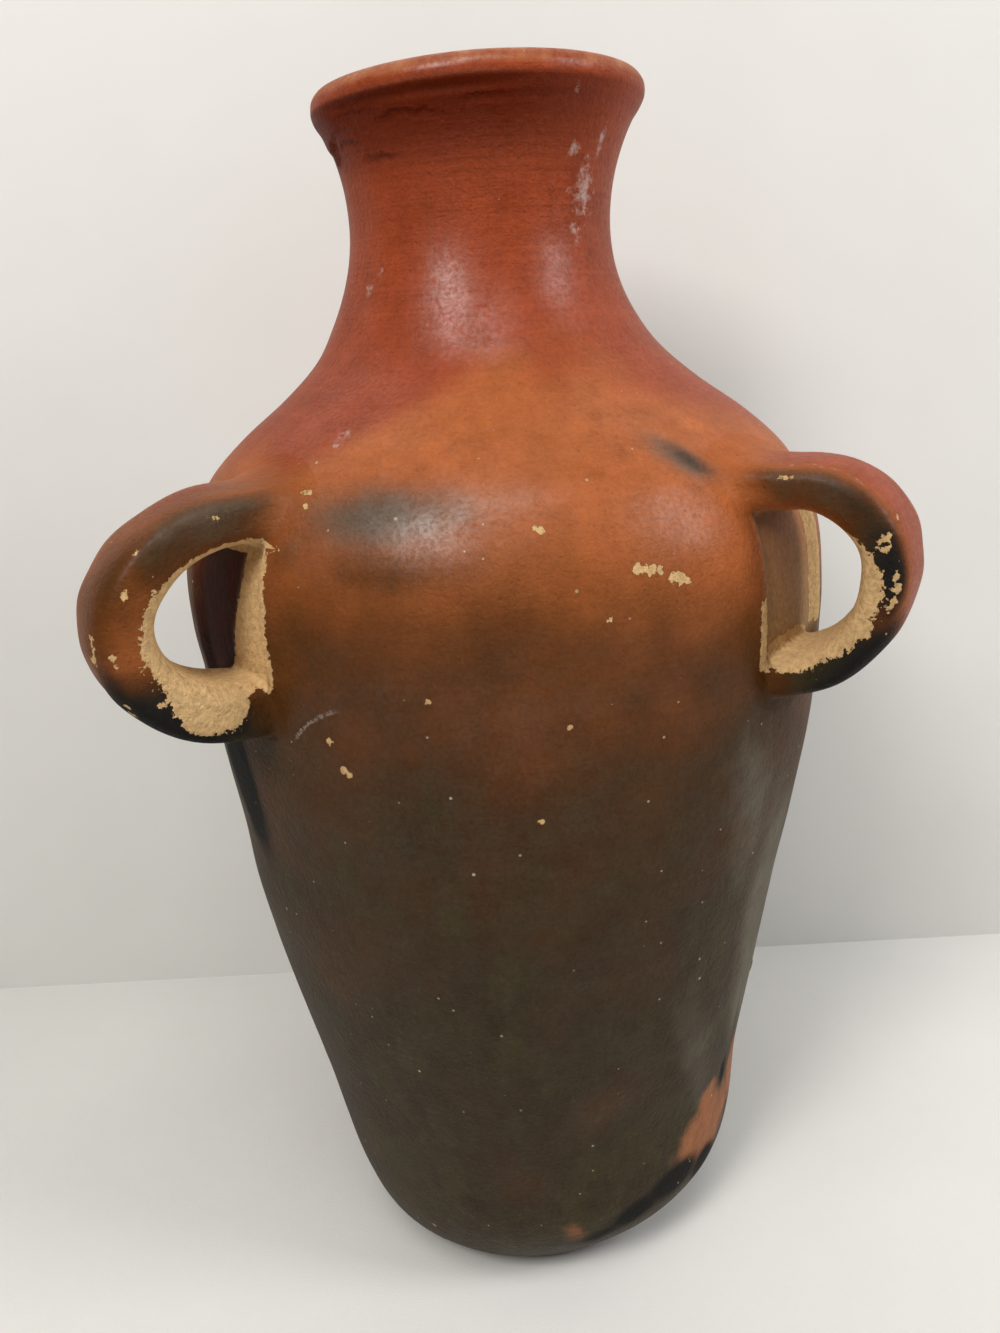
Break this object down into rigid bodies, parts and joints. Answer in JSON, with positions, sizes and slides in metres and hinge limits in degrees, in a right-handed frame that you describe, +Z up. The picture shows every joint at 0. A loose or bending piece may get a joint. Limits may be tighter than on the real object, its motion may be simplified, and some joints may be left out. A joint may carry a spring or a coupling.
{
  "type": "handled pottery vase",
  "caption": "Tall hand-built earthenware water jar with a flared neck, rolled rim, round shoulder, tapering body, flat base and strap handles at the shoulder",
  "frame": {"origin": "centre of the flat underside of the base", "axes": "+Z up through the mouth, -Y the side that shows both handles, +X to the right seen from that side"},
  "size_m": [0.2628, 0.234, 0.44],
  "materials": {
    "red_slip": "burnished",
    "orange_slip": "burnished",
    "smoked_slip": "burnished",
    "buff_clay": "matte"
  },
  "bodies": {
    "root": {"base_slab": "smoked_slip", "heel_course": "smoked_slip", "foot_course": "smoked_slip", "lower_wall_course": "smoked_slip", "upper_wall_course": "smoked_slip", "lower_belly_course": "smoked_slip", "belly_course": "orange_slip", "shoulder_course": "orange_slip", "closing_course": "orange_slip", "neck_collar": "red_slip", "neck_flare": "red_slip", "rim_roll": "red_slip", "right_handle_strap": "smoked_slip", "right_handle_upper_wad": "orange_slip", "right_handle_lower_wad": "buff_clay", "left_handle_strap": "smoked_slip", "left_handle_upper_wad": "orange_slip", "left_handle_lower_wad": "buff_clay"}
  },
  "joints": []
}
